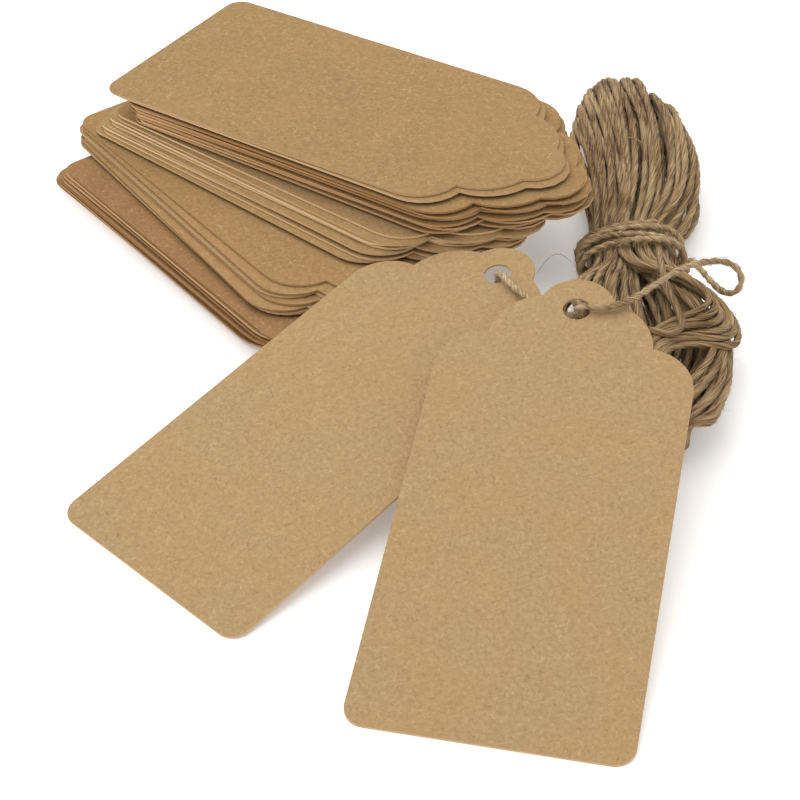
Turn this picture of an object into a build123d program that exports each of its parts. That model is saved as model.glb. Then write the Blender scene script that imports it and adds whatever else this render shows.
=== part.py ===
from build123d import *
import math
import os
from typing import NamedTuple

# Kraft gift-tag set: a fanned stack of scalloped card tags, two tags strung on jute twine
# that lean on the stack and on the hank, and the hank of twine, tied round its waist.
# Millimetres. The set lies on a table at Z = 0, +X is to the viewer's right, +Y points away.
# The origin is the middle of the tags' outline on the table.

# Card tag, measured from its straight end or down from the tip of its ear
tag_width = 45.0
tag_length = 95.0
card_thickness = 0.45
bottom_corner_radius = 3.5
shoulder_drop = 23.0
outer_notch_half_width = 14.5
outer_notch_drop = 14.3
inner_notch_half_width = 6.4
inner_notch_drop = 4.6
middle_lobe_rise = 2.0
hole_diameter = 5.0
hole_drop = 7.0
cut_overrun = 1.0
arc_facets = 6

# Stack: air between cards, and the wider air between sheaves
card_gap = 0.11
sheaf_gap = 0.6
seat_clearance = 0.3


class Sheaf(NamedTuple):
    """Cards of one sheaf, from its lowest to its highest; places are shares of the tag's length."""

    name: str
    cards: int
    low_place_shares: tuple
    high_place_shares: tuple
    low_heading: float
    high_heading: float


sheaves = (
    Sheaf("bottom_sheaf", 14, (-0.465, 0.846), (-0.417, 0.763), -53.3, -53.5),
    Sheaf("third_sheaf", 6, (-0.388, 0.850), (-0.392, 0.893), -57.4, -55.3),
    Sheaf("second_sheaf", 8, (-0.384, 0.870), (-0.339, 0.871), -43.0, -41.7),
    Sheaf("top_sheaf", 9, (-0.307, 0.834), (-0.320, 0.830), -36.6, -35.9),
    Sheaf("top_pair", 2, (-0.354, 0.854), (-0.360, 0.848), -36.8, -35.3),
)
stray_turn = 0.7
stray_shift_share = 0.006
stray_step = 2.4

# Strung tags: middle of the straight end, heading of the ear, and how far up the tag its seat is
left_place_shares = (-0.346, -0.577)
left_heading = -45.99
left_seat_share = 0.72
front_place_shares = (0.225, -0.986)
front_heading = -14.21
front_seat_share = 0.722

# Hank of twine: nested loops in layers, drawn in at the waist
twine_diameter = 1.6
twine_sides = 4
hank_layers = 4
loops_per_layer = 4
lobe_step = 3.1
lobe_core = 1.4
waist_step = 2.2
lobe_rise = 4.2
waist_rise = 2.5
end_step = 2.4
upper_lobe_length = 71.0
lower_lobe_length = 51.0
waist_half_length = 6.0
widest_share = 0.6
end_width_share = 0.78
hank_bend_limit = 6.5
hank_place_shares = (0.640, 0.202)
waist_shift = -4.7

# Tie: turns of the twine round the waist
tie_turns = 4
tie_step = 2.1
tie_clearance = 0.8
tie_corner_radius = 2.6

# Route of the string, chosen by hand: up from the tie, in a loop beside the hank, over it, down
# through the front tag's hole, over the left tag's ear, down through its hole, to a bare end
bend_share = 0.45
string_route = [
    (66.2, 15.65, 10.2),
    (67.6, 11.4, 11.4),
    (69.3, 6.6, 11.0),
    (71.2, 2.0, 11.5),
    (73.1, -0.3, 13.7),
    (73.8, 0.5, 16.5),
    (71.9, 1.6, 18.8),
    (68.2, 1.4, 19.7),
    (62.2, -1.4, 20.5),
    (56.7, -6.9, 20.8),
    (51.2, -11.4, 20.3),
    (46.3, -12.0, 19.7),
    (42.40, -10.57, 19.75),
    (42.58, -9.87, 16.3),
    (38.2, -7.5, 16.2),
    (34.5, -3.9, 16.3),
    (31.6, 0.4, 16.55),
    (29.26, 5.18, 16.75),
    (29.70, 5.65, 13.0),
    (28.4, 3.3, 9.8),
    (25.0, -1.7, 6.7),
    (21.3, -7.6, 3.6),
    (19.8, -14.4, 1.7),
    (21.6, -20.0, 0.95),
]

# Worked out from the sizes above
hank_mid_height = (hank_layers - 1) / 2 * lobe_rise + twine_diameter / 2
lobe_x = hank_place_shares[0] * tag_length
waist_x = lobe_x + waist_shift
waist_y = hank_place_shares[1] * tag_length


def tag_face():
    """Outline of one scalloped tag, its straight end on the X axis and its ear along +Y."""
    half_width = tag_width / 2
    shoulder = (half_width, tag_length - shoulder_drop)
    outer_notch = (outer_notch_half_width, tag_length - outer_notch_drop)
    inner_notch = (inner_notch_half_width, tag_length - inner_notch_drop)
    tip = (0, tag_length)

    def mirrored(point):
        return (-point[0], point[1])

    right_corner = (half_width, 0)
    outline = [
        Line(mirrored(right_corner), right_corner),
        Line(right_corner, shoulder),
        TangentArc(shoulder, outer_notch, tangent=(0, 1)),
        SagittaArc(outer_notch, inner_notch, -middle_lobe_rise),
        ThreePointArc(inner_notch, tip, mirrored(inner_notch)),
        SagittaArc(mirrored(inner_notch), mirrored(outer_notch), -middle_lobe_rise),
        TangentArc(mirrored(shoulder), mirrored(outer_notch), tangent=(0, 1)),
        Line(mirrored(shoulder), mirrored(right_corner)),
    ]
    face = make_face(outline)
    return fillet(face.vertices().group_by(Axis.Y)[0], bottom_corner_radius)


def stack_tag():
    """A blank tag for the stack: each arc of its outline is cut into a few flats to keep it light."""
    points = []
    for edge in tag_face().face().outer_wire().order_edges():
        facets = 1 if edge.geom_type == GeomType.LINE else arc_facets
        points += [edge @ (step / facets) for step in range(facets)]
    return extrude(make_face(Polyline(points, close=True)), card_thickness)


def punched_tag():
    """A tag with the round hole in its ear that the twine runs through."""
    punch_length = card_thickness + 2 * cut_overrun
    punch = Cylinder(hole_diameter / 2, punch_length, align=(Align.CENTER, Align.CENTER, Align.MIN))
    return extrude(tag_face(), card_thickness) - Pos(0, tag_length - hole_drop, -cut_overrun) * punch


def between(low, high, share):
    """The value that lies a share of the way from low to high."""
    return low + (high - low) * share


def laid_tags(card):
    """Every tag of the stack by node name, sheaf on sheaf, each a little out of true with the next."""
    tags = {}
    level = 0.0
    laid = 0
    for sheaf in sheaves:
        for place in range(sheaf.cards):
            share = place / (sheaf.cards - 1)
            stray = math.sin(stray_step * laid)
            x_share = between(sheaf.low_place_shares[0], sheaf.high_place_shares[0], share)
            y_share = between(sheaf.low_place_shares[1], sheaf.high_place_shares[1], share)
            heading = between(sheaf.low_heading, sheaf.high_heading, share) + stray_turn * stray
            shift_share = stray_shift_share * math.cos(stray_step * laid)
            spot = Pos((x_share + shift_share) * tag_length, (y_share - shift_share) * tag_length, level)
            tags[f"{sheaf.name}_tag_{place + 1:02d}"] = spot * Rot(Z=heading - 90) * card
            level += card_thickness + card_gap
            laid += 1
        level += sheaf_gap
    return tags


def sheaf_top(name):
    """Height of a sheaf's uppermost face above the table."""
    level = 0.0
    for sheaf in sheaves:
        level += sheaf.cards * (card_thickness + card_gap)
        if sheaf.name == name:
            return level - card_gap
        level += sheaf_gap


def strung_tag(place_shares, heading, seat_height, seat_share):
    """A punched tag with its straight end on the table, leaning on a seat part of the way up."""
    lean = math.degrees(math.atan2(seat_height + seat_clearance, seat_share * tag_length))
    x_share, y_share = place_shares
    return Pos(x_share * tag_length, y_share * tag_length, 0) * Rot(Z=heading) * Rot(X=lean) * punched_tag()


def bend_radii(points):
    """The largest fillet radius that each corner of a route takes."""
    radii = []
    for before, corner, after in zip(points, points[1:], points[2:]):
        run_in = Vector(corner) - Vector(before)
        run_out = Vector(after) - Vector(corner)
        turn = math.radians(run_in.get_angle(run_out))
        radii.append(bend_share * min(run_in.length, run_out.length) / math.tan(turn / 2))
    return radii


def twine_tube(name, points, radii):
    """A faceted tube of the twine's diameter along a route of straight runs and tangent arcs."""
    path = FilletPolyline(points, radius=radii)
    mouth = Plane(origin=path @ 0, z_dir=path % 0)
    section = mouth * RegularPolygon(twine_diameter / 2, twine_sides)
    tube = sweep(section, path)
    volume_share = tube.volume / (section.area * path.length)
    print(name, "length", round(path.length), "volume to section times length", round(volume_share, 3))
    print(name, "least bend radius", round(min(radii), 2), "least gap", round(least_gap(path), 2))
    return tube


def hank_route():
    """Points of the hank's one unbroken length: loops spiral out and in again, layer on layer.

    A right-hand run lies at whole places of the nest and a left-hand run half a place further out.
    The innermost right run and the outermost left run climb from one layer to the next.
    """

    def station(side, place, layer, lobe, kind):
        """One point: side +1 right or -1 left, lobe +1 upper or -1 lower, kind waist, wide or end."""
        across = place + (1 if side > 0 else 0) / 2
        reach = upper_lobe_length if lobe > 0 else lower_lobe_length
        end_y = reach - twine_diameter / 2 - end_step * (loops_per_layer - 1 / 2 - place)
        height = layer - (hank_layers - 1) / 2
        if kind == "waist":
            x = waist_x + side * across * waist_step
            return (x, waist_y + lobe * waist_half_length, hank_mid_height + height * waist_rise)
        if kind == "wide":
            x = lobe_x + side * (lobe_core + across * lobe_step)
            return (x, waist_y + lobe * widest_share * reach, hank_mid_height + height * lobe_rise)
        x = lobe_x + side * (lobe_core + across * lobe_step) * end_width_share
        return (x, waist_y + lobe * end_y, hank_mid_height + height * lobe_rise)

    def run(side, place, low_layer, high_layer):
        """The points of one run past the waist, in the order in which the twine is laid."""
        lobe = side
        points = []
        for share, kind, which in ((0, "end", -lobe), (0, "wide", -lobe), (1 / 3, "waist", -lobe),
                                   (2 / 3, "waist", lobe), (1, "wide", lobe), (1, "end", lobe)):
            points.append(station(side, place, between(low_layer, high_layer, share), which, kind))
        return points

    rights = list(range(loops_per_layer))
    lefts = [place + 1 / 2 for place in rights]
    runs = []
    for layer in range(hank_layers):
        outward = layer % 2 == 0
        for place in rights if outward else reversed(rights):
            if place == 0 and layer in (1, 2):
                if layer == 1:
                    runs.append((1, place, layer, layer + 1))
            else:
                runs.append((1, place, layer, layer))
            left = place + 1 / 2 if outward else place - 1 / 2
            if left == lefts[-1]:
                runs.append((-1, left, layer, layer + 1))
            elif left > 0:
                runs.append((-1, left, layer, layer))
    points = [point for values in runs for point in run(*values)]
    return points[2:-2]


def least_gap(path):
    """Least clear distance between a tube and itself, measured on points a diameter apart."""
    spots = []
    length = 0.0
    for edge in path.order_edges():
        steps = max(1, round(edge.length / twine_diameter))
        for step in range(steps):
            spots.append((length + edge.length * step / steps, edge @ (step / steps)))
        length += edge.length
    cell = 2 * lobe_step
    grid = {}
    for index, (along, spot) in enumerate(spots):
        grid.setdefault((spot.X // cell, spot.Y // cell, spot.Z // cell), []).append(index)
    near = [(i, j, k) for i in (-1, 0, 1) for j in (-1, 0, 1) for k in (-1, 0, 1)]
    least = math.inf
    for (i, j, k), here in grid.items():
        others = [other for a, b, c in near for other in grid.get((i + a, j + b, k + c), [])]
        for index in here:
            along, spot = spots[index]
            for other in others:
                if spots[other][0] > along + 2 * math.pi * twine_diameter:
                    least = min(least, (spots[other][1] - spot).length)
    return least - twine_diameter


def tie_route():
    """Points of the tie's turns round the waist, ending on a straight rise at its right side."""
    half_width = waist_step * (loops_per_layer - 1 / 2) + twine_diameter + tie_clearance
    half_height = waist_rise * (hank_layers - 1) / 2 + twine_diameter + tie_clearance
    corners = ((-1, 1), (-1, -1), (1, -1), (1, 1))
    start_y = waist_y + tie_step * tie_turns / 2
    first_y = start_y + tie_step * 3 / 16
    points = [(waist_x + half_width / 2, first_y, hank_mid_height + half_height)]
    for corner in range(4 * tie_turns - 1):
        across, up = corners[corner % 4]
        y = start_y - tie_step * corner / 4
        points.append((waist_x + across * half_width, y, hank_mid_height + up * half_height))
    points.append((waist_x + half_width, y - tie_step / 8, hank_mid_height))
    return points


os.makedirs("parts", exist_ok=True)
left_seat = sheaf_top("third_sheaf")
front_seat = 2 * hank_mid_height
hank_points = hank_route()
tie_points = tie_route()
string_points = [tie_points[-1]] + string_route
print("string bend radii", [round(radius, 1) for radius in bend_radii(string_points)])

nodes = laid_tags(stack_tag())
nodes["left_strung_tag"] = strung_tag(left_place_shares, left_heading, left_seat, left_seat_share)
nodes["front_strung_tag"] = strung_tag(front_place_shares, front_heading, front_seat, front_seat_share)
hank_radii = [min(radius, hank_bend_limit) for radius in bend_radii(hank_points)]
nodes["twine_hank"] = twine_tube("hank", hank_points, hank_radii)
tie_radii = [tie_corner_radius] * (len(tie_points) - 2)
nodes["waist_tie"] = twine_tube("tie", tie_points, tie_radii)
nodes["tag_string"] = twine_tube("string", string_points, bend_radii(string_points))
for name, shape in nodes.items():
    export_step(shape, f"parts/{name}.step")
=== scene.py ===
"""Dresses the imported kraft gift-tag set: card finishes on the tags, and jute twine over the cord solids.

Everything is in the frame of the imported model: the set lies on a table at Z = 0, +X is to the viewer's
right and +Y points away from the viewer. Lengths are in metres, or in millimetres where a name ends in mm.
"""

from __future__ import annotations

import logging
import math
from collections.abc import Iterable
from dataclasses import dataclass, field
from enum import Enum
from typing import Any

import bpy
import numpy as np
from mathutils import Matrix, Vector

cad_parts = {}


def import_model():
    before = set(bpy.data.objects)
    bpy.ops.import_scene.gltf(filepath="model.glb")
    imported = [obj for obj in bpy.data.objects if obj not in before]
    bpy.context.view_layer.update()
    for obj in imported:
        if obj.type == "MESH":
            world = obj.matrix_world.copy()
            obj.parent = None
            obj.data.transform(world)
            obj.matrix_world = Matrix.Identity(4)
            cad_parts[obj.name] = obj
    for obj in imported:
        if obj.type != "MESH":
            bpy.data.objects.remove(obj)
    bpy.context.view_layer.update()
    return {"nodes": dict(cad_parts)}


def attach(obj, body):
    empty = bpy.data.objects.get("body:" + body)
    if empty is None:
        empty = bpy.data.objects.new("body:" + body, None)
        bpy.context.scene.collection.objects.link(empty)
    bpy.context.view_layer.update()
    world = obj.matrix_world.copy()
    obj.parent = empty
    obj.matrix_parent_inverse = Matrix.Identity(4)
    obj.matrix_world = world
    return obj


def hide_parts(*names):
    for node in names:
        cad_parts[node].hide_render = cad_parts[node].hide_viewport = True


log = logging.getLogger("gift_tags")

MM = 0.001
Point = tuple[float, float, float]
Span = tuple[float, float]
Tint = tuple[str, str, str]

# A colour mix takes its share at in0 and its colours at in6 and in7, and gives its result at MIXED
COLOUR_MIX: dict[str, Any] = {"data_type": "RGBA"}
MIXED = 2

WAIST_MM: Point = (56.1, 19.2, 7.1)


class Sheaf(Enum):
    """Which part of the set a card tag belongs to; the value starts its node's name."""

    BOTTOM = "bottom_sheaf"
    THIRD = "third_sheaf"
    SECOND = "second_sheaf"
    TOP = "top_sheaf"
    PAIR = "top_pair"
    LEFT = "left_strung"
    FRONT = "front_strung"


class Lobe(Enum):
    """The two lobes of the hank, as the direction in which each lies from the waist."""

    UPPER = 1
    LOWER = -1


class FarEnd(Enum):
    """What a length of twine ends in: nothing, or the set itself."""

    BARE = "bare"
    OBJECT = "object"


class Lay(Enum):
    """How a length of twine lies."""

    COILED = "coiled"
    LOOSE = "loose"


def linear(hex_colour: str) -> tuple[float, float, float, float]:
    """Turns an sRGB hex colour into the linear colour that a shader socket takes.

    Args:
        hex_colour: six hex digits after a hash sign.

    Returns:
        Linear red, green and blue, with an alpha of one.
    """
    values = [int(hex_colour[place : place + 2], 16) / 255 for place in (1, 3, 5)]
    made = [value / 12.92 if value <= 0.04045 else ((value + 0.055) / 1.055) ** 2.4 for value in values]
    return (made[0], made[1], made[2], 1.0)


def add_node(
    tree: bpy.types.NodeTree, kind: str, settings: dict[str, Any] | None = None, **inputs: Any
) -> bpy.types.Node:
    """Adds one shader node with its settings, values and links.

    Args:
        tree: the material's node tree.
        kind: the node's Blender type name.
        settings: attributes of the node to set first.
        **inputs: socket names in lower case with underscores, or in0, in1 and so on for a socket's
            number; an output socket is linked, and anything else becomes the socket's value.

    Returns:
        The new node.
    """
    node = tree.nodes.new(kind)
    for name, value in (settings or {}).items():
        setattr(node, name, value)
    for name, value in inputs.items():
        if name.startswith("in") and name[2:].isdigit():
            socket = node.inputs[int(name[2:])]
        else:
            socket = next(s for s in node.inputs if s.name.lower().replace(" ", "_") == name)
        if isinstance(value, bpy.types.NodeSocket):
            tree.links.new(value, socket)
        else:
            socket.default_value = value
    return node


def new_material(name: str) -> tuple[bpy.types.Material, bpy.types.NodeTree, bpy.types.Node]:
    """Starts a node material.

    Args:
        name: the material's name.

    Returns:
        The material, its tree and its Principled shader, already linked to the output.
    """
    material = bpy.data.materials.new(name)
    material.use_nodes = True
    tree = material.node_tree
    tree.nodes.clear()
    shader = tree.nodes.new("ShaderNodeBsdfPrincipled")
    output = tree.nodes.new("ShaderNodeOutputMaterial")
    tree.links.new(shader.outputs["BSDF"], output.inputs["Surface"])
    return material, tree, shader


@dataclass(frozen=True)
class KraftCard:
    """Unbleached kraft board, calendered and die cut.

    The eye sees a dry, matt brown face with rosy clouds, short pale and dark fibres lying all ways, and a cut
    edge of its own colour. The edge colour also carries painted shade and painted light on the stack's sides,
    as each sheaf's tint gives it.
    """

    name: str
    pale: str
    deep: str
    edge: str
    offset_mm: Point = (0.0, 0.0, 0.0)
    pulp_mm: float = 0.7
    pulp_tones: Span = (0.3, 0.7)
    pulp_bump: float = 0.2
    pulp_depth_mm: float = 0.06
    rosy: str = "#B78A5E"
    cloud_mm: float = 13.0
    cloud_tones: Span = (0.4, 0.62)
    cloud_share: float = 0.2
    fibre_mm: float = 0.4
    fibre_stretch: float = 4.5
    fibre_bend: float = 0.8
    fibre_turns: tuple[float, ...] = (0.5, 1.7, 2.8)
    fibre_share: float = 0.3
    pale_fibre: str = "#D0B78C"
    pale_fibre_tones: Span = (0.64, 0.76)
    dark_fibre: str = "#80623C"
    dark_fibre_tones: Span = (0.36, 0.25)
    face_level: float = 0.6
    roughness: float = 0.86
    ior: float = 1.45
    specular: float = 0.25

    def build(self) -> bpy.types.Material:
        """Makes the material.

        Returns:
            The card's material.
        """
        material, tree, shader = new_material(self.name)
        coords = add_node(tree, "ShaderNodeTexCoord")
        place = add_node(
            tree,
            "ShaderNodeMapping",
            vector=coords.outputs["Object"],
            location=[value * MM for value in self.offset_mm],
        )
        spot = place.outputs["Vector"]
        # Real pulp and fibres are finer; they are drawn this wide so that they show in the render
        pulp = add_node(
            tree, "ShaderNodeTexNoise", vector=spot, scale=1 / (self.pulp_mm * MM), detail=2.0, roughness=0.6
        )
        low, high = self.pulp_tones
        tone = add_node(tree, "ShaderNodeMapRange", value=pulp.outputs["Fac"], from_min=low, from_max=high)
        face = add_node(
            tree,
            "ShaderNodeMix",
            COLOUR_MIX,
            in0=tone.outputs[0],
            in6=linear(self.deep),
            in7=linear(self.pale),
        )
        cloud = add_node(tree, "ShaderNodeTexNoise", vector=spot, scale=1 / (self.cloud_mm * MM), detail=2.0)
        low, high = self.cloud_tones
        warmth = add_node(
            tree,
            "ShaderNodeMapRange",
            value=cloud.outputs["Fac"],
            from_min=low,
            from_max=high,
            to_max=self.cloud_share,
        )
        clouded = add_node(
            tree,
            "ShaderNodeMix",
            COLOUR_MIX,
            in0=warmth.outputs[0],
            in6=face.outputs[MIXED],
            in7=linear(self.rosy),
        )
        colour = clouded.outputs[MIXED]
        for turn in self.fibre_turns:
            colour = self.fibred(tree, spot, turn, colour)
        normal = add_node(tree, "ShaderNodeNewGeometry")
        upright = add_node(tree, "ShaderNodeSeparateXYZ", vector=normal.outputs["Normal"])
        level = add_node(tree, "ShaderNodeMath", {"operation": "ABSOLUTE"}, in0=upright.outputs["Z"])
        # Upright faces take the edge colour: the cut edge's own colour, darkened as painted shade on the
        # bottom sheaf and paled as painted light on the upper ones
        cut = add_node(
            tree, "ShaderNodeMath", {"operation": "LESS_THAN"}, in0=level.outputs[0], in1=self.face_level
        )
        edge_and_shade = add_node(
            tree, "ShaderNodeMix", COLOUR_MIX, in0=cut.outputs[0], in6=colour, in7=linear(self.edge)
        )
        bump = add_node(
            tree,
            "ShaderNodeBump",
            strength=self.pulp_bump,
            distance=self.pulp_depth_mm * MM,
            height=pulp.outputs["Fac"],
        )
        tree.links.new(edge_and_shade.outputs[MIXED], shader.inputs["Base Color"])
        tree.links.new(bump.outputs["Normal"], shader.inputs["Normal"])
        shader.inputs["Roughness"].default_value = self.roughness
        shader.inputs["IOR"].default_value = self.ior
        shader.inputs["Specular IOR Level"].default_value = self.specular
        return material

    def fibred(
        self, tree: bpy.types.NodeTree, spot: bpy.types.NodeSocket, turn: float, colour: bpy.types.NodeSocket
    ) -> bpy.types.NodeSocket:
        """Lays short pale and dark fibres over a colour.

        Args:
            tree: the material's node tree.
            spot: where on the card.
            turn: the way the fibres lie, in radians.
            colour: the colour under them.

        Returns:
            The colour with the fibres on it.
        """
        turned = add_node(
            tree,
            "ShaderNodeMapping",
            {"vector_type": "TEXTURE"},
            vector=spot,
            rotation=(0.0, 0.0, turn),
            scale=(1.0, self.fibre_stretch, 1.0),
        )
        fibre = add_node(
            tree,
            "ShaderNodeTexNoise",
            vector=turned.outputs["Vector"],
            scale=1 / (self.fibre_mm * MM),
            detail=1.0,
            distortion=self.fibre_bend,
        )
        kinds = ((self.pale_fibre, self.pale_fibre_tones), (self.dark_fibre, self.dark_fibre_tones))
        for shade, (bare, full) in kinds:
            share = add_node(
                tree,
                "ShaderNodeMapRange",
                value=fibre.outputs["Fac"],
                from_min=bare,
                from_max=full,
                to_max=self.fibre_share,
            )
            laid = add_node(
                tree, "ShaderNodeMix", COLOUR_MIX, in0=share.outputs[0], in6=colour, in7=linear(shade)
            )
            colour = laid.outputs[MIXED]
        return colour


@dataclass(frozen=True)
class JuteTwine:
    """Two-ply jute, spun and left undyed.

    The eye sees dry, greyish tan twine with pale and dark bast fibres that run along it, and hardly any
    shine.
    """

    name: str
    pale: str
    deep: str
    streak_length_mm: float = 7.0
    streaks_round: float = 13.0
    streak_share: float = 0.6
    strand_mm: float = 55.0
    patch_mm: float = 9.0
    broad_share: float = 0.2
    tones: Span = (0.4, 0.62)
    streak_bump: float = 0.8
    streak_depth_mm: float = 0.25
    roughness: float = 0.9
    ior: float = 1.5
    specular: float = 0.2
    sheen: float = 0.15
    sheen_roughness: float = 0.5

    def build(self) -> bpy.types.Material:
        """Makes the material, which reads the twine's own UV map: millimetres along it, and turns round it.

        Returns:
            The twine's material.
        """
        material, tree, shader = new_material(self.name)
        coords = add_node(tree, "ShaderNodeTexCoord")
        along = add_node(
            tree,
            "ShaderNodeMapping",
            vector=coords.outputs["UV"],
            scale=(1 / self.streak_length_mm, self.streaks_round, 1.0),
        )
        streak = add_node(
            tree, "ShaderNodeTexNoise", vector=along.outputs["Vector"], scale=1.0, detail=2.0, roughness=0.6
        )
        length = add_node(
            tree, "ShaderNodeMapping", vector=coords.outputs["UV"], scale=(1 / self.strand_mm, 0.0, 0.0)
        )
        strand = add_node(tree, "ShaderNodeTexNoise", vector=length.outputs["Vector"], scale=1.0, detail=1.0)
        patch = add_node(
            tree, "ShaderNodeTexNoise", vector=coords.outputs["Object"], scale=1 / (self.patch_mm * MM)
        )
        broad = add_node(
            tree, "ShaderNodeMath", {"operation": "ADD"}, in0=patch.outputs["Fac"], in1=strand.outputs["Fac"]
        )
        ground = add_node(
            tree, "ShaderNodeMath", {"operation": "MULTIPLY"}, in0=broad.outputs[0], in1=self.broad_share
        )
        mixed = add_node(
            tree,
            "ShaderNodeMath",
            {"operation": "MULTIPLY_ADD"},
            in0=streak.outputs["Fac"],
            in1=self.streak_share,
            in2=ground.outputs[0],
        )
        low, high = self.tones
        tone = add_node(tree, "ShaderNodeMapRange", value=mixed.outputs[0], from_min=low, from_max=high)
        colour = add_node(
            tree,
            "ShaderNodeMix",
            COLOUR_MIX,
            in0=tone.outputs[0],
            in6=linear(self.deep),
            in7=linear(self.pale),
        )
        bump = add_node(
            tree,
            "ShaderNodeBump",
            strength=self.streak_bump,
            distance=self.streak_depth_mm * MM,
            height=streak.outputs["Fac"],
        )
        tree.links.new(colour.outputs[MIXED], shader.inputs["Base Color"])
        tree.links.new(bump.outputs["Normal"], shader.inputs["Normal"])
        shader.inputs["Roughness"].default_value = self.roughness
        shader.inputs["IOR"].default_value = self.ior
        shader.inputs["Specular IOR Level"].default_value = self.specular
        shader.inputs["Sheen Weight"].default_value = self.sheen
        shader.inputs["Sheen Roughness"].default_value = self.sheen_roughness
        return material


# The tones in which the photograph shows each sheaf, painted shade and painted light included: the card is
# one, but the bottom sheaf is darker (painted shade), the second and third sheaves are paler (painted light),
# most of all the second sheaf's cut edges, and the top sheaf's cut edges are a little paler; a tint is a pale
# and a deep face and a cut edge
TOP_TINTS: tuple[Tint, ...] = (
    ("#A98A60", "#97794F", "#DAB283"),
    ("#A5855A", "#937449", "#A87C50"),
    ("#A18156", "#8F7045", "#C09668"),
)
SHEAF_SHADE_AND_LIGHT_TINTS: dict[Sheaf, tuple[Tint, ...]] = {
    Sheaf.BOTTOM: (
        ("#9F7D54", "#8D6B44", "#C09868"),
        ("#9B7850", "#896640", "#906A41"),
        ("#97744C", "#85623C", "#AA8153"),
    ),
    Sheaf.THIRD: (
        ("#AE8F64", "#9C7E53", "#CBAA7E"),
        ("#AB8A5F", "#99794E", "#A27C50"),
        ("#A8875B", "#96764A", "#B08C5E"),
    ),
    Sheaf.SECOND: (
        ("#B2946A", "#A18459", "#F0CFA0"),
        ("#AC8D62", "#9A7C51", "#D2AE7E"),
        ("#AA8B61", "#987A50", "#E4C192"),
    ),
    Sheaf.TOP: TOP_TINTS,
    Sheaf.PAIR: TOP_TINTS,
}


@dataclass
class CardTags:
    """All the card tags: each CAD node stays as it is and gets its card finish.

    The finishes of a sheaf take turns, each with its pattern moved along.
    """

    strung_tint: Tint = ("#B5986E", "#A58961", "#C8A97F")
    strung_step_mm: float = 31.0
    strung_aside_mm: float = 7.0
    top_tint: Tint = ("#A7885D", "#96784F", "#C2A076")
    top_offset_mm: Point = (5.0, 43.0, 0.0)
    sheaf_step_mm: float = 17.0
    finishes: dict[str, bpy.types.Material] = field(default_factory=dict)

    def finish(self, name: str, tint: Tint, offset_mm: Point) -> bpy.types.Material:
        """Makes a card finish once and hands out the same one after that.

        Args:
            name: the finish's name.
            tint: its pale face, deep face and cut edge.
            offset_mm: where its pattern starts.

        Returns:
            The finish's material.
        """
        if name not in self.finishes:
            self.finishes[name] = KraftCard(name, *tint, offset_mm=offset_mm).build()
        return self.finishes[name]

    def dress(self, nodes: dict[str, bpy.types.Object]) -> None:
        """Gives every tag its card finish.

        Args:
            nodes: the CAD objects by node name.
        """
        kinds = tuple(sheaf.value for sheaf in Sheaf)
        tags = sorted(name for name in nodes if name.startswith(kinds))
        uppermost = max(name for name in tags if name.startswith(Sheaf.PAIR.value))
        for index, name in enumerate(tags):
            if name.startswith((Sheaf.LEFT.value, Sheaf.FRONT.value)):
                offset_mm = (self.strung_step_mm * index, self.strung_aside_mm, 0.0)
                material = self.finish(f"kraft_card_{name}", self.strung_tint, offset_mm)
            elif name == uppermost:
                material = self.finish("kraft_card_top_tag", self.top_tint, self.top_offset_mm)
            else:
                # Each sheaf's tints carry its painted shade or its painted light
                sheaf = next(sheaf for sheaf in SHEAF_SHADE_AND_LIGHT_TINTS if name.startswith(sheaf.value))
                kind = index % len(SHEAF_SHADE_AND_LIGHT_TINTS[sheaf])
                offset_mm = (self.sheaf_step_mm * kind, 0.0, 0.0)
                label = f"kraft_card_{sheaf.value}_{kind}"
                material = self.finish(label, SHEAF_SHADE_AND_LIGHT_TINTS[sheaf][kind], offset_mm)
            nodes[name].data.materials.clear()
            nodes[name].data.materials.append(material)
            log.info("%s has %s", name, material.name)


def in_metres(points_mm: Iterable[Point]) -> list[Point]:
    """Turns points in millimetres into points in metres."""
    return [(x * MM, y * MM, z * MM) for x, y, z in points_mm]


def nurbs_points(route: list[Point], resolution: int) -> np.ndarray:
    """Reads points along the smooth line that a cord follows.

    Args:
        route: the control points of one open NURBS spline.
        resolution: how many points each control point gives.

    Returns:
        Points along the spline, one row each.
    """
    curve = bpy.data.curves.new("route", "CURVE")
    curve.dimensions = "3D"
    curve.resolution_u = resolution
    spline = curve.splines.new("NURBS")
    spline.points.add(len(route) - 1)
    for point, place in zip(spline.points, route):
        point.co = (*place, 1.0)
    spline.order_u = 3
    spline.use_endpoint_u = True
    carrier = bpy.data.objects.new("route", curve)
    mesh = bpy.data.meshes.new_from_object(carrier)
    line = np.array([vertex.co for vertex in mesh.vertices], float)
    bpy.data.meshes.remove(mesh)
    bpy.data.objects.remove(carrier)
    bpy.data.curves.remove(curve)
    return line


def run_lengths(line: np.ndarray) -> np.ndarray:
    """Distance along a line of points up to each of them."""
    return np.concatenate([[0.0], np.cumsum(np.linalg.norm(np.diff(line, axis=0), axis=1))])


def evenly(line: np.ndarray, step: float) -> np.ndarray:
    """Sets points along a line anew, an even step apart.

    Args:
        line: points along a cord.
        step: the longest step from one new point to the next.

    Returns:
        The new points, with both ends where they were.
    """
    along = run_lengths(line)
    places = np.linspace(0.0, along[-1], max(2, math.ceil(along[-1] / step) + 1))
    return np.stack([np.interp(places, along, line[:, axis]) for axis in range(3)], axis=1)


# A direction that no twine here starts along
SLANT: Point = (0.3, 0.5, 0.8)


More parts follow.
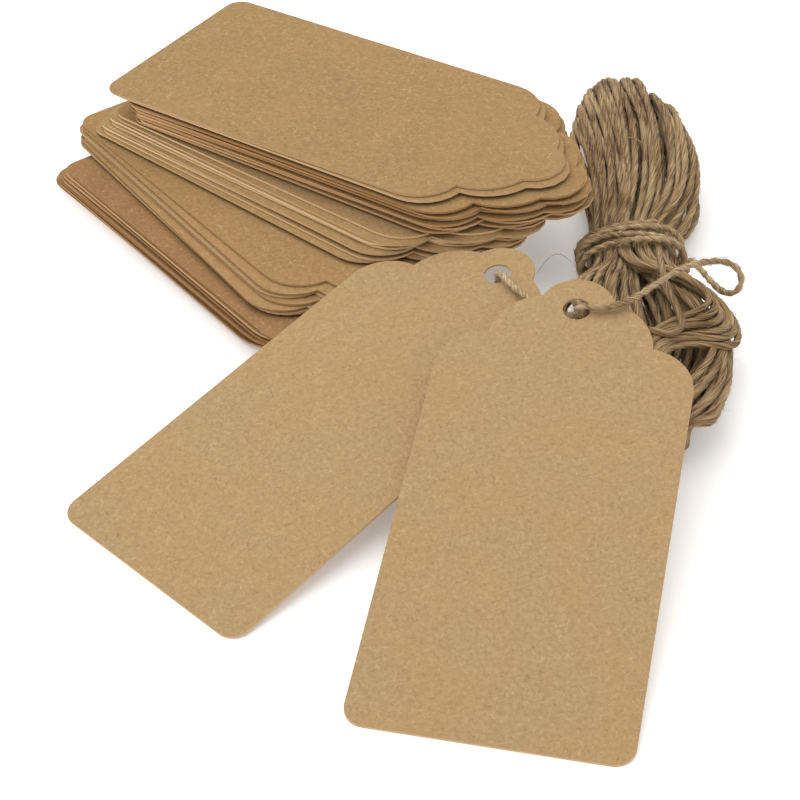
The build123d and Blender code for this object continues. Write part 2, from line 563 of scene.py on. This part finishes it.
def carried_frames(line: np.ndarray) -> tuple[np.ndarray, np.ndarray, np.ndarray]:
    """Tangents and two cross directions along a line, carried along it without twist.

    Args:
        line: points along a cord.

    Returns:
        The tangents, and two directions square to each of them.
    """
    tangents = np.gradient(line, axis=0)
    tangents /= np.linalg.norm(tangents, axis=1)[:, None]
    start = np.cross(tangents[0], SLANT)
    sides = np.zeros_like(line)
    side = start / np.linalg.norm(start)
    for place, tangent in enumerate(tangents):
        side = side - tangent * side.dot(tangent)
        side /= np.linalg.norm(side)
        sides[place] = side
    return tangents, sides, np.cross(tangents, sides)


@dataclass
class FibreMesh:
    """Gathers thin three-sided tapered fibres into one mesh."""

    sides: int = 3
    taper_share: float = 0.75
    vertices: list[Point] = field(default_factory=list)
    faces: list[tuple[int, ...]] = field(default_factory=list)

    def add(self, points: np.ndarray, width: float, outward: np.ndarray, around: np.ndarray) -> None:
        """Adds one fibre.

        Args:
            points: points along the fibre, root first.
            width: half its thickness at the root.
            outward: a direction across it.
            around: another direction across it.
        """
        first = len(self.vertices)
        for place, point in enumerate(points):
            reach = width * (1.0 - self.taper_share * place / (len(points) - 1))
            for corner in range(self.sides):
                spin = corner * 2 * math.pi / self.sides
                spot = point + reach * (math.cos(spin) * outward + math.sin(spin) * around)
                self.vertices.append(tuple(spot))
        for ring in range(len(points) - 1):
            low = first + ring * self.sides
            high = low + self.sides
            for corner in range(self.sides):
                after = (corner + 1) % self.sides
                self.faces.append((low + corner, low + after, high + after, high + corner))
        last = len(self.vertices) - self.sides
        self.faces.append(tuple(range(first + self.sides - 1, first - 1, -1)))
        self.faces.append(tuple(range(last, last + self.sides)))

    def build(self, name: str) -> bpy.types.Object:
        """Makes the object.

        Args:
            name: the object's name.

        Returns:
            The new object.
        """
        mesh = bpy.data.meshes.new(name)
        mesh.from_pydata(self.vertices, [], self.faces)
        mesh.update()
        piece = bpy.data.objects.new(name, mesh)
        bpy.context.collection.objects.link(piece)
        return piece


@dataclass
class Twine:
    """A length of two-ply jute twine that follows one smooth line, with the loose fibres that stand off it.

    The spun section fills a share of the diameter, its fullness, and the loose fibres take up the rest.
    """

    name: str
    route: list[Point]
    node: str
    length_m: float
    far_end: FarEnd
    lay: Lay
    fibres: int
    seed: int
    body: str = "lower_stack_and_twine"
    diameter_mm: float = 1.6
    fullness: float = 0.82
    groove_share: float = 0.26
    sides: int = 12
    lay_mm: float = 4.2
    step_mm: float = 0.32
    resolution: int = 10
    slub_rings: int = 7
    slub_share: float = 0.07
    fibre_mm: Span = (0.8, 2.6)
    fibre_half_mm: float = 0.055
    fibre_shares: tuple[float, ...] = (0.0, 0.5, 1.0)
    fibre_root_share: float = 0.8
    fibre_lifts: Span = (0.02, 0.28)
    fibre_lift_power: float = 1.5
    fibre_drifts: Span = (-0.5, 0.5)
    fibre_drift_power: float = 2.0
    fibre_free_rings: int = 4
    fibre_least_z_mm: float = 0.1
    strays_mm: tuple[tuple[Point, ...], ...] = ()
    stray_half_mm: float = 0.11
    stray_resolution: int = 6
    stray_up: Point = (0.0, 0.0, 1.0)
    stray_aside: Point = (0.7, 0.7, 0.0)

    def build(self, finish: bpy.types.Material, fibre_finish: bpy.types.Material) -> None:
        """Args:
            finish: the twine's material.
            fibre_finish: the loose fibres' material.
        """
        line = evenly(nurbs_points(self.route, self.resolution), self.step_mm * MM)
        twine = self.spun_mesh(line)
        twine.data.materials.append(finish)
        fuzz = self.fuzz_mesh(line)
        fuzz.data.materials.append(fibre_finish)
        for piece in (twine, fuzz):
            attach(piece, self.body)
        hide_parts(self.node)
        log.info("%s is %.3f m long, %d faces", twine.name, run_lengths(line)[-1], len(twine.data.polygons))
        log.info("%s has %d faces", fuzz.name, len(fuzz.data.polygons))

    def spun_mesh(self, line: np.ndarray) -> bpy.types.Object:
        """The spun twine as one closed mesh, whose section turns along the lay.

        A grooved section shows the two plies.

        Args:
            line: points along the twine's middle.

        Returns:
            The new object.
        """
        random = np.random.default_rng(self.seed)
        along = run_lengths(line)
        _, sides, ups = carried_frames(line)
        rings = len(line)
        corner = np.arange(self.sides)
        spin = 2 * math.pi * corner / self.sides
        section = self.fullness * self.diameter_mm * MM / 2 * (1 - self.groove_share * np.sin(spin) ** 2)
        knots = np.arange(0, rings + self.slub_rings, self.slub_rings)
        slubs = np.interp(np.arange(rings), knots, random.normal(1, self.slub_share, len(knots)))
        angle = spin[None, :] + (2 * math.pi * along / (self.lay_mm * MM))[:, None]
        reach = slubs[:, None] * section[None, :]
        points = (
            line[:, None, :]
            + (reach * np.cos(angle))[:, :, None] * sides[:, None, :]
            + (reach * np.sin(angle))[:, :, None] * ups[:, None, :]
        )
        low = (np.arange(rings - 1) * self.sides)[:, None]
        high = low + self.sides
        after = (corner + 1) % self.sides
        quads = np.stack([low + corner, low + after, high + after, high + corner], axis=-1).reshape(-1, 4)
        last = (rings - 1) * self.sides
        caps = [tuple(range(self.sides - 1, -1, -1)), tuple(range(last, last + self.sides))]
        mesh = bpy.data.meshes.new(self.name)
        mesh.from_pydata(points.reshape(-1, 3).tolist(), [], [tuple(quad) for quad in quads.tolist()] + caps)
        shape = (rings - 1, self.sides)
        start = np.broadcast_to(along[:-1, None] / MM, shape)
        end = np.broadcast_to(along[1:, None] / MM, shape)
        near = np.broadcast_to(corner / self.sides, shape)
        far = near + 1 / self.sides
        body = np.stack([start, near, start, far, end, far, end, near], axis=-1).reshape(-1, 2)
        loops = np.zeros((len(mesh.loops), 2))
        loops[: len(body)] = body
        layer = mesh.uv_layers.new(name="along_twine")
        layer.data.foreach_set("uv", loops.ravel())
        mesh.polygons.foreach_set("use_smooth", [True] * len(mesh.polygons))
        mesh.update()
        piece = bpy.data.objects.new(self.name, mesh)
        bpy.context.collection.objects.link(piece)
        return piece

    def fuzz_mesh(self, line: np.ndarray) -> bpy.types.Object:
        """Loose fibres that stand a little off the twine, and the few long strays given one by one.

        Args:
            line: points along the twine's middle.

        Returns:
            The new object.
        """
        random = np.random.default_rng(self.seed + 1)
        tangents, sides, ups = carried_frames(line)
        radius = self.diameter_mm * MM / 2
        root = radius * self.fibre_root_share
        gathered = FibreMesh()
        shares = np.array(self.fibre_shares)[:, None]
        for _ in range(self.fibres):
            place = int(random.integers(self.fibre_free_rings, len(line) - self.fibre_free_rings))
            angle = random.uniform(0, 2 * math.pi)
            outward = math.cos(angle) * sides[place] + math.sin(angle) * ups[place]
            run = tangents[place] * random.choice((-1, 1))
            around = np.cross(run, outward)
            length = random.uniform(*self.fibre_mm) * MM
            lift, drift = random.uniform(*self.fibre_lifts), random.uniform(*self.fibre_drifts)
            points = (
                line[place]
                + outward * (root + length * lift * shares**self.fibre_lift_power)
                + run * length * shares
                + around * length * drift * shares**self.fibre_drift_power
            )
            if points[:, 2].min() > self.fibre_least_z_mm * MM:
                gathered.add(points, self.fibre_half_mm * MM, outward, around)
        for stray in self.strays_mm:
            points = nurbs_points(in_metres(stray), self.stray_resolution)
            gathered.add(points, self.stray_half_mm * MM, np.array(self.stray_up), np.array(self.stray_aside))
        return gathered.build(f"{self.name}_fibres")


@dataclass(frozen=True)
class LobeShape:
    """One lobe of the hank: its reach from the waist, and its middle and half width along the way.

    The outermost runs fold earlier, by up to the droop. The last lean and half width are at the fold.
    """

    lobe: Lobe
    reach_mm: float
    droop_mm: float
    lean_mm: tuple[float, ...]
    half_widths_mm: tuple[float, ...]


@dataclass(frozen=True)
class Sweep:
    """Runs of the lower lobe that swing out to its right side and curl back, nested from outer to inner.

    Runs whose share across is at or above the least one are swept. They fold at the shares given for
    the outer and the inner run.
    """

    least_across: float
    outer_mm: tuple[Point, ...]
    inner_mm: tuple[Point, ...]
    fold_shares: Span


@dataclass(frozen=True)
class Row:
    """One row of the hank's upper runs: its height and the places across it as shares, and its sweep."""

    height: float
    across: tuple[float, ...]
    sweep: Sweep

    def swept(self) -> list[float]:
        """The places of the swept runs, from the outer one to the inner one."""
        return sorted((share for share in self.across if share >= self.sweep.least_across), reverse=True)

    def nest(self, across: float) -> float:
        """How far in a swept run lies, from zero for the outer one to one for the inner one."""
        return self.swept().index(across) / (len(self.swept()) - 1)

    def fold_share(self, across: float) -> float:
        """Where a swept run folds, as a share of the lobe's half width."""
        outer, inner = self.sweep.fold_shares
        return outer + (inner - outer) * self.nest(across)


UPPER_SWEEP = Sweep(
    -0.45,
    (
        (63.5, 9.0, 12.0),
        (68.5, 3.5, 10.8),
        (72.4, -3.0, 9.0),
        (72.6, -9.4, 8.8),
        (69.2, -13.4, 11.2),
        (62.5, -13.6, 12.8),
        (57.0, -15.5, 12.8),
        (55.2, -23.0, 12.2),
    ),
    (
        (60.5, 8.5, 12.8),
        (63.5, 5.5, 13.2),
        (67.0, 2.5, 13.0),
        (68.2, -2.0, 12.8),
        (64.5, -5.2, 13.2),
        (60.0, -7.4, 13.2),
        (55.5, -11.0, 13.2),
        (51.8, -16.5, 12.6),
    ),
    (-0.1, -0.7),
)
MIDDLE_SWEEP = Sweep(
    0.2,
    (
        (63.0, 8.0, 10.4),
        (67.5, 0.0, 9.8),
        (70.2, -8.0, 8.4),
        (69.6, -16.5, 8.0),
        (67.0, -25.5, 8.6),
        (63.8, -31.0, 9.2),
    ),
    (
        (61.0, 8.0, 10.8),
        (65.0, 0.0, 11.0),
        (67.8, -7.0, 10.8),
        (67.4, -13.0, 10.6),
        (64.5, -18.5, 10.8),
        (60.0, -24.0, 10.6),
    ),
    (0.16, -0.2),
)
LOWER_SWEEP = Sweep(
    0.16,
    (
        (63.6, 8.4, 8.6),
        (69.2, 0.5, 8.0),
        (71.4, -6.5, 6.8),
        (69.2, -17.0, 6.6),
        (66.6, -25.5, 7.4),
        (63.4, -31.2, 8.6),
    ),
    (
        (61.0, 8.0, 9.0),
        (64.0, 0.0, 9.0),
        (66.5, -8.0, 8.8),
        (65.8, -15.0, 8.6),
        (62.8, -21.0, 8.8),
        (58.5, -27.0, 9.2),
    ),
    (0.1, -0.3),
)


@dataclass
class Hank:
    """The hank of twine: each turn runs along the top, folds over at the end and comes back underneath.

    The gaps in the two upper rows are the dark furrows between the hank's loose bundles. In the lower lobe
    the upper runs on the right swing out and curl back, as their row's sweep says, and the run underneath
    crosses over to meet the next one at its fold.
    """

    rows: tuple[Row, ...] = (
        Row(
            1.0,
            (1, 0.89, 0.78, 0.47, 0.38, 0.28, 0.18)
            + (-0.12, -0.22, -0.32, -0.43, -0.54, -0.66, -0.77, -0.89, -1),
            UPPER_SWEEP,
        ),
        Row(
            0.68,
            (-1, -0.87, -0.74, -0.61, -0.48, -0.36, -0.24, -0.13)
            + (0.22, 0.31, 0.4, 0.66, 0.77, 0.88, 1),
            MIDDLE_SWEEP,
        ),
        Row(
            0.34,
            (1, 0.86, 0.72, 0.58, 0.44, 0.3, 0.16, 0, -0.16, -0.3, -0.44, -0.58, -0.72, -0.86, -1),
            LOWER_SWEEP,
        ),
    )
    row_round_share: float = 0.62
    row_set_back_mm: float = 2.0
    station_shares: tuple[float, ...] = (0.2, 0.46, 0.74, 1.0)
    half_heights_mm: tuple[float, ...] = (5.0, 5.6, 5.6, 5.0)
    upper: LobeShape = LobeShape(
        Lobe.UPPER, 65.2, 19.0, (3.4, 4.9, 5.2, 4.1, 3.8), (9.2, 11.0, 12.0, 11.9, 11.2)
    )
    lower: LobeShape = LobeShape(
        Lobe.LOWER, 52.5, 25.0, (-0.5, 0.2, 1.4, 1.8, 1.8), (11.4, 14.0, 14.0, 13.7, 12.8)
    )
    waist_mm: Point = WAIST_MM
    waist_half_width_mm: float = 8.4
    waist_half_height_mm: float = 4.5
    waist_half_length_mm: float = 5.5
    waist_round_share: float = 0.8
    waist_least_height_mm: float = 0.3
    sunk_mm: float = 1.2
    swept_sunk_share: float = 0.6
    cross_over_share: float = 0.4
    flare_share: float = 0.6
    fold_mm: float = 6.0
    fold_drop_mm: float = 0.8
    fold_least_height_share: float = 0.66
    fold_height_share: float = 0.76
    lowest_mm: float = 0.9
    highest_mm: float = 13.2
    loose_mm: float = 0.6
    loose_reach_mm: float = 0.35
    loose_waist_share: float = 0.14
    loose_under_share: float = 0.06
    tail_mm: tuple[Point, ...] = (
        (55.4, -11.0, 13.8),
        (57.2, -12.4, 14.2),
        (59.8, -13.0, 14.3),
        (61.5, -11.2, 14.5),
        (61.3, -7.4, 14.8),
        (60.5, -3.4, 14.8),
        (60.0, 0.8, 14.6),
        (60.0, 5.2, 14.2),
        (60.3, 9.6, 13.4),
        (60.6, 14.2, 11.8),
        (60.9, 19.0, 11.4),
    )
    strays_mm: tuple[tuple[Point, ...], ...] = (
        ((37.1, 8.8, 13.0), (39.1, 11.0, 15.0), (41.5, 10.7, 16.0), (43.8, 10.2, 14.0), (46.0, 8.5, 11.0)),
        ((58.5, 55.0, 12.8), (60.0, 53.6, 14.0), (62.6, 47.9, 14.8), (65.8, 45.6, 14.0), (67.0, 44.0, 12.5)),
    )
    seed: int = 5

    def twine(self) -> Twine:
        """The hank's length of twine, plain in section because there is so much of it."""
        return Twine(
            "hank_twine",
            self.route(),
            node="twine_hank",
            length_m=10.45,
            far_end=FarEnd.BARE,
            lay=Lay.COILED,
            fibres=9000,
            seed=3,
            fullness=0.86,
            groove_share=0.0,
            sides=6,
            lay_mm=20.0,
            step_mm=1.1,
            fibre_mm=(1.2, 4.5),
            strays_mm=self.strays_mm,
        )

    def route(self) -> list[Point]:
        """Control points of the whole hank: the loose tail, then turn after turn.

        Returns:
            Points in metres.
        """
        random = np.random.default_rng(self.seed)
        slots = [(across, row) for row in self.rows for across in row.across]
        points = in_metres(self.tail_mm)
        for turn, ((across, row), (after, after_row)) in enumerate(zip(slots, slots[1:] + slots[-1:])):
            sunk = self.sunk_mm * (turn % 2)
            slot = (across, row.height)
            under_across = (across + after) / 2 + random.normal(0, self.loose_under_share)
            under = (under_across, (row.height + after_row.height) / 2)
            fold_share = after_row.fold_share(after) if after in after_row.swept() else under_across
            if turn > 0 and across in row.swept():
                points += self.swept_run(row, across, sunk, random)[::-1]
            elif turn > 0:
                points += self.half_run(self.lower, slot, 1, sunk, random)[::-1]
            points += self.half_run(self.upper, slot, 1, sunk, random)
            points += self.half_run(self.upper, under, -1, sunk, random)[::-1]
            points += self.half_run(self.lower, under, -1, sunk, random, fold_share)
        return points

    def swept_run(self, row: Row, across: float, sunk: float, random: np.random.Generator) -> list[Point]:
        """The points of a run of the lower lobe that swings out to the right and curls back.

        Args:
            row: the run's row, with its sweep.
            across: the run's share of the half width.
            sunk: how far the run lies below its neighbours, in millimetres.
            random: where the run's looseness comes from.

        Returns:
            Points in metres.
        """
        nest = row.nest(across)
        waist = self.half_run(self.lower, (across, row.height), 1, sunk, random)[0]
        folded = self.half_run(self.lower, (row.fold_share(across), row.height), 1, sunk, random)[-1]
        points_mm = []
        for outer, inner in zip(row.sweep.outer_mm, row.sweep.inner_mm):
            nested = np.array(outer) + nest * (np.array(inner) - outer)
            x, y, z = nested + random.normal(0, self.loose_mm / 2, 3)
            points_mm.append((x, y, z - self.swept_sunk_share * sunk))
        return [waist, *in_metres(points_mm), folded]

    def half_run(
        self,
        shape: LobeShape,
        slot: Span,
        level: int,
        sunk: float,
        random: np.random.Generator,
        fold_share: float | None = None,
    ) -> list[Point]:
        """The points of a run from the waist to the fold of one lobe.

        Args:
            shape: the lobe.
            slot: the run's shares of the half width and half height.
            level: one for a run along the top, minus one for a run back underneath.
            sunk: how far the run is pressed in at the waist, in millimetres.
            random: where the run's looseness comes from.
            fold_share: where the run folds across the lobe, if it crosses over on its way.

        Returns:
            Points in metres.
        """
        across, height = slot
        middle_x, middle_y, middle_z = self.waist_mm
        way = shape.lobe.value
        rounded = math.sqrt(1 - (self.row_round_share * height) ** 2)
        spread = across * rounded
        end_spread = spread if fold_share is None else fold_share * rounded
        set_back = self.row_set_back_mm * (1 - height)
        reach = shape.reach_mm - shape.droop_mm * end_spread**2 - set_back
        reach += random.normal(0, self.loose_reach_mm)
        crossed = max(-1.0, min(1.0, across + random.normal(0, self.loose_waist_share)))
        squeezed = crossed * math.sqrt(1 - (self.waist_round_share * height) ** 2)
        waist_height = max(self.waist_least_height_mm, height * self.waist_half_height_mm - sunk)
        waist_x = middle_x + squeezed * self.waist_half_width_mm
        waist_y = middle_y + way * self.waist_half_length_mm
        straight = reach - self.waist_half_length_mm - self.fold_mm
        loose = self.loose_mm * reach / self.upper.reach_mm
        points_mm = [(waist_x, waist_y, middle_z + level * waist_height)]
        for share, lean, half_width, half_height in zip(
            self.station_shares, shape.lean_mm, shape.half_widths_mm, self.half_heights_mm
        ):
            crossed_over = max(0.0, share - self.cross_over_share) / (1 - self.cross_over_share)
            station_spread = spread + (end_spread - spread) * crossed_over
            x = middle_x + lean + station_spread * half_width + random.normal(0, loose)
            flared = max(height, self.flare_share * share)
            z = middle_z + level * flared * half_height + random.normal(0, loose) * (1 - share / 2)
            points_mm.append((x, waist_y + way * share * straight, z))
        end_x = middle_x + shape.lean_mm[-1] + end_spread * shape.half_widths_mm[-1]
        end_height = max(self.fold_least_height_share, self.fold_height_share * height)
        end_z = middle_z - self.fold_drop_mm + level * end_height * self.half_heights_mm[-1]
        points_mm.append((end_x, middle_y + way * reach, end_z))
        return in_metres((x, y, max(self.lowest_mm, min(self.highest_mm, z))) for x, y, z in points_mm)


@dataclass
class WaistTie:
    """The turns of twine that draw the hank in at its waist, not quite in order."""

    turns: int = 4
    step_mm: float = 2.1
    half_width_mm: float = 10.1
    half_height_mm: float = 6.15
    middle_mm: Point = WAIST_MM
    lead_share: float = 0.1875
    rise_share: float = 0.125
    wander_mm: tuple[Span, ...] = (
        (-0.6, 0.2),
        (0.1, 0.0),
        (-0.3, 0.0),
        (0.9, 0.5),
        (-0.9, 0.5),
        (0.2, 0.0),
        (0.3, 0.0),
        (-0.8, 0.1),
        (1.2, 0.3),
        (-0.2, 0.0),
        (0.2, 0.0),
        (0.7, 0.6),
        (-0.4, 0.2),
        (0.1, 0.0),
        (0.0, 0.0),
    )

    def twine(self) -> Twine:
        """The tie's length of twine."""
        return Twine(
            "tie_twine",
            self.route(),
            node="waist_tie",
            length_m=0.206,
            far_end=FarEnd.OBJECT,
            lay=Lay.COILED,
            fibres=500,
            seed=5,
        )

    def route(self) -> list[Point]:
        """Control points of the turns, up to the rise at the right side.

        Returns:
            Points in metres.
        """
        corners = ((-1, 1), (-1, -1), (1, -1), (1, 1))
        x, y, z = self.middle_mm
        start = y + self.step_mm * self.turns / 2
        lead = start + self.step_mm * self.lead_share
        points_mm = [(x + self.half_width_mm / 2, lead, z + self.half_height_mm)]
        place = start
        for corner, (aside, lift) in enumerate(self.wander_mm):
            across, up = corners[corner % len(corners)]
            place = start - self.step_mm * corner / len(corners)
            side_x, side_z = x + across * self.half_width_mm, z + up * self.half_height_mm
            points_mm.append((side_x, place + aside, side_z + lift))
        points_mm.append((x + self.half_width_mm, place - self.step_mm * self.rise_share, z))
        return in_metres(points_mm)


@dataclass
class TagString:
    """The free twine: from the tie, in a loop, over the hank and down through both strung tags."""

    points_mm: tuple[Point, ...] = (
        (66.2, 15.6, 7.1),
        (66.2, 15.65, 10.2),
        (67.6, 11.4, 11.4),
        (69.3, 6.6, 11.0),
        (71.2, 2.0, 11.5),
        (73.1, -0.3, 13.7),
        (73.8, 0.5, 16.5),
        (71.9, 1.6, 18.8),
        (68.2, 1.4, 19.7),
        (62.2, -1.4, 20.5),
        (56.7, -6.9, 20.8),
        (51.2, -11.4, 20.3),
        (46.3, -12.0, 19.7),
        (42.40, -10.57, 19.75),
        (42.58, -9.87, 16.3),
        (38.2, -7.5, 16.2),
        (34.5, -3.9, 16.3),
        (31.6, 0.4, 16.55),
        (29.26, 5.18, 16.75),
        (29.70, 5.65, 13.0),
        (28.4, 3.3, 9.8),
        (25.0, -1.7, 6.7),
        (21.3, -7.6, 3.6),
        (19.8, -14.4, 1.7),
        (21.6, -20.0, 0.95),
    )

    def twine(self) -> Twine:
        """The string's length of twine."""
        return Twine(
            "string_twine",
            in_metres(self.points_mm),
            node="tag_string",
            length_m=0.118,
            far_end=FarEnd.BARE,
            lay=Lay.LOOSE,
            fibres=330,
            seed=7,
        )


@dataclass
class Studio:
    """The white table, the soft light and the camera."""

    look_at_mm: Point = (10.62, -11.2, 0.0)
    distance_mm: float = 355.72
    elevation_deg: float = 39.5
    roll_deg: float = -2.112
    focal_px: float = 1947.1
    frame_px: float = 800.0
    sensor_mm: float = 36.0
    nearest_m: float = 0.01
    white: str = "#FFFFFF"
    table_m: float = 6.0
    table_roughness: float = 0.9
    table_specular: float = 0.1
    table_painted_glow: float = 0.2
    sky_strength: float = 0.75
    lamp_place_m: Point = (-0.18, 0.16, 0.8)
    lamp_across_m: float = 1.3
    lamp_watts: float = 5.3

    def build(self) -> None:
        """Makes the table, the lights and the camera."""
        self.table()
        self.light()
        self.camera()

    def table(self) -> None:
        """A plain white table top."""
        bpy.ops.object.select_all(action="DESELECT")
        bpy.ops.mesh.primitive_plane_add(size=self.table_m, location=(0, 0, 0))
        table = bpy.context.object
        table.name = "table_top"
        material, _, shader = new_material("table_white")
        shader.inputs["Base Color"].default_value = linear(self.white)
        shader.inputs["Roughness"].default_value = self.table_roughness
        shader.inputs["Specular IOR Level"].default_value = self.table_specular
        # The table glows a little: painted light that pales the shadows cast on it
        shader.inputs["Emission Color"].default_value = linear(self.white)
        shader.inputs["Emission Strength"].default_value = self.table_painted_glow
        table.data.materials.append(material)

    def light(self) -> None:
        """Soft light from all round, and one broad lamp above on the left."""
        scene = bpy.context.scene
        scene.world = bpy.data.worlds.new("studio")
        scene.world.use_nodes = True
        sky = scene.world.node_tree.nodes["Background"]
        sky.inputs["Color"].default_value = linear(self.white)
        sky.inputs["Strength"].default_value = self.sky_strength
        scene.view_settings.view_transform = "Standard"
        bpy.ops.object.select_all(action="DESELECT")
        bpy.ops.object.light_add(type="AREA", location=self.lamp_place_m)
        lamp = bpy.context.object
        lamp.name = "soft_lamp"
        lamp.data.shape = "DISK"
        lamp.data.size = self.lamp_across_m
        lamp.data.energy = self.lamp_watts
        lamp.rotation_euler = (-lamp.location).to_track_quat("-Z", "Y").to_euler()

    def camera(self) -> None:
        """The camera near the photograph's place, set so that the whole set is in the square picture."""
        elevation, roll = math.radians(self.elevation_deg), math.radians(self.roll_deg)
        forward = Vector((0.0, math.cos(elevation), -math.sin(elevation)))
        right = Vector((1.0, 0.0, 0.0))
        up = right.cross(forward)
        across = right * math.cos(roll) + up * math.sin(roll)
        upward = up * math.cos(roll) - right * math.sin(roll)
        bpy.ops.object.select_all(action="DESELECT")
        bpy.ops.object.camera_add()
        camera = bpy.context.object
        camera.name = "photo_camera"
        turn = Matrix((across, upward, -forward)).transposed().to_4x4()
        place = Vector(self.look_at_mm) * MM - forward * self.distance_mm * MM
        camera.matrix_world = Matrix.Translation(place) @ turn
        camera.data.sensor_width = self.sensor_mm
        camera.data.lens = self.focal_px / self.frame_px * self.sensor_mm
        camera.data.clip_start = self.nearest_m
        bpy.context.scene.camera = camera


def main() -> None:
    """Builds the scene in order."""
    logging.basicConfig(level=logging.INFO, format="%(name)s: %(message)s")
    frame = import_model()
    Studio().build()
    CardTags().dress(frame["nodes"])
    # One jute in two tones: the hank's is darker, painted shade, and the tie's and string's is paler, painted
    # light with painted highlights
    hank_shaded_jute = JuteTwine("jute_two_ply_wound", pale="#C3A77A", deep="#5A3812").build()
    outer = JuteTwine("jute_two_ply_outer", pale="#DCC49A", deep="#74512A").build()
    fibre = JuteTwine("jute_loose_fibre", pale="#CDB486", deep="#7A5930", patch_mm=1.4).build()
    for piece, finish in ((Hank(), hank_shaded_jute), (WaistTie(), outer), (TagString(), outer)):
        piece.twine().build(finish, fibre)


if __name__ == "__main__":
    main()
